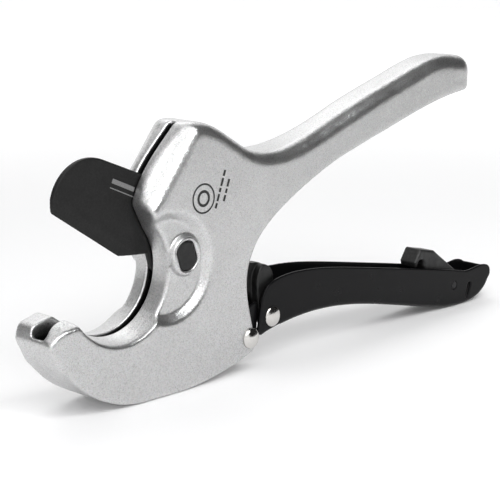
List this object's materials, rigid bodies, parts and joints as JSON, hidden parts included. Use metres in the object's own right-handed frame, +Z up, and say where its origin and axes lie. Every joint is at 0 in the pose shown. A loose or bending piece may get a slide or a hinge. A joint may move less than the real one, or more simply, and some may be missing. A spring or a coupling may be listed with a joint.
{
  "type": "pipe cutter",
  "caption": "Hand-held ratchet shear for plastic pipe: die-cast frame with a round mouth, toothed blade, pressed steel lever and latch.",
  "frame": {"origin": "on the floor plane under the middle of the tool's bounding box: the flat under the jaw and the lever's lowest edge are level with it", "axes": "+X along the tool from the jaw towards the handle's end, +Z up, +Y across the tool from the lever rivet's formed head to its far head side"},
  "size_m": [0.2424, 0.027, 0.1067],
  "materials": {
    "silver_paint": "satin",
    "blade_steel": "satin",
    "black_oxide": "satin",
    "black_paint": "satin",
    "pawl_steel": "satin",
    "latch_steel": "satin",
    "bright_steel": "gloss",
    "zinc_steel": "satin",
    "spring_steel": "satin"
  },
  "bodies": {
    "frame": {"body_casting": "silver_paint", "blade_pin": "black_oxide", "pin_washer": "zinc_steel", "pin_screw": "black_oxide", "lever_rivet": "bright_steel", "hold_pin": "bright_steel", "hold_spacer": "zinc_steel", "hold_spring": "spring_steel", "catch_pin": "bright_steel", "spring_anchor": "bright_steel", "blade_spring": "spring_steel"},
    "blade": {"blade": "blade_steel"},
    "lever": {"lever": "black_paint", "lever_spacer": "zinc_steel", "lever_spring": "spring_steel", "link_rivet": "bright_steel", "link_washer": "zinc_steel", "drive_spring": "spring_steel", "latch_pin": "black_paint", "latch_spring": "spring_steel"},
    "drive_pawl": {"drive_pawl": "pawl_steel"},
    "hold_pawl": {"hold_pawl": "pawl_steel"},
    "latch": {"latch": "latch_steel"}
  },
  "joints": [
    {"name": "lever_swing", "type": "hinge", "parent": "frame", "child": "lever", "pos_m": [-0.03043, 0, 0.0127], "axis": [0, -1, 0], "range_deg": [0, 31], "stiffness_Nm_per_rad": 0.9, "springref_deg": -28.65, "deforming": ["lever_spring"]},
    {"name": "blade_swing", "type": "hinge", "parent": "frame", "child": "blade", "pos_m": [-0.06103, 0, 0.0483], "axis": [0, -1, 0], "range_deg": [-38, 57], "deforming": ["blade_spring"]},
    {"name": "drive_pawl_swing", "type": "hinge", "parent": "lever", "child": "drive_pawl", "pos_m": [-0.01483, 0, 0.0172], "axis": [0, -1, 0], "range_deg": [-43, 0], "deforming": ["drive_spring"]},
    {"name": "hold_pawl_swing", "type": "hinge", "parent": "frame", "child": "hold_pawl", "pos_m": [-0.02933, 0, 0.0565], "axis": [0, 1, 0], "range_deg": [0, 9], "stiffness_Nm_per_rad": 0.05, "springref_deg": -28.65, "deforming": ["hold_spring"]},
    {"name": "latch_swing", "type": "hinge", "parent": "lever", "child": "latch", "pos_m": [0.09567, 0, 0.0095], "axis": [0, 1, 0], "range_deg": [-30, 0], "stiffness_Nm_per_rad": 0.05, "springref_deg": 28.65, "deforming": ["latch_spring"]}
  ],
  "couplings": [
    {"joint": "drive_pawl_swing", "follows": "lever_swing", "ratio": -1.35}
  ]
}
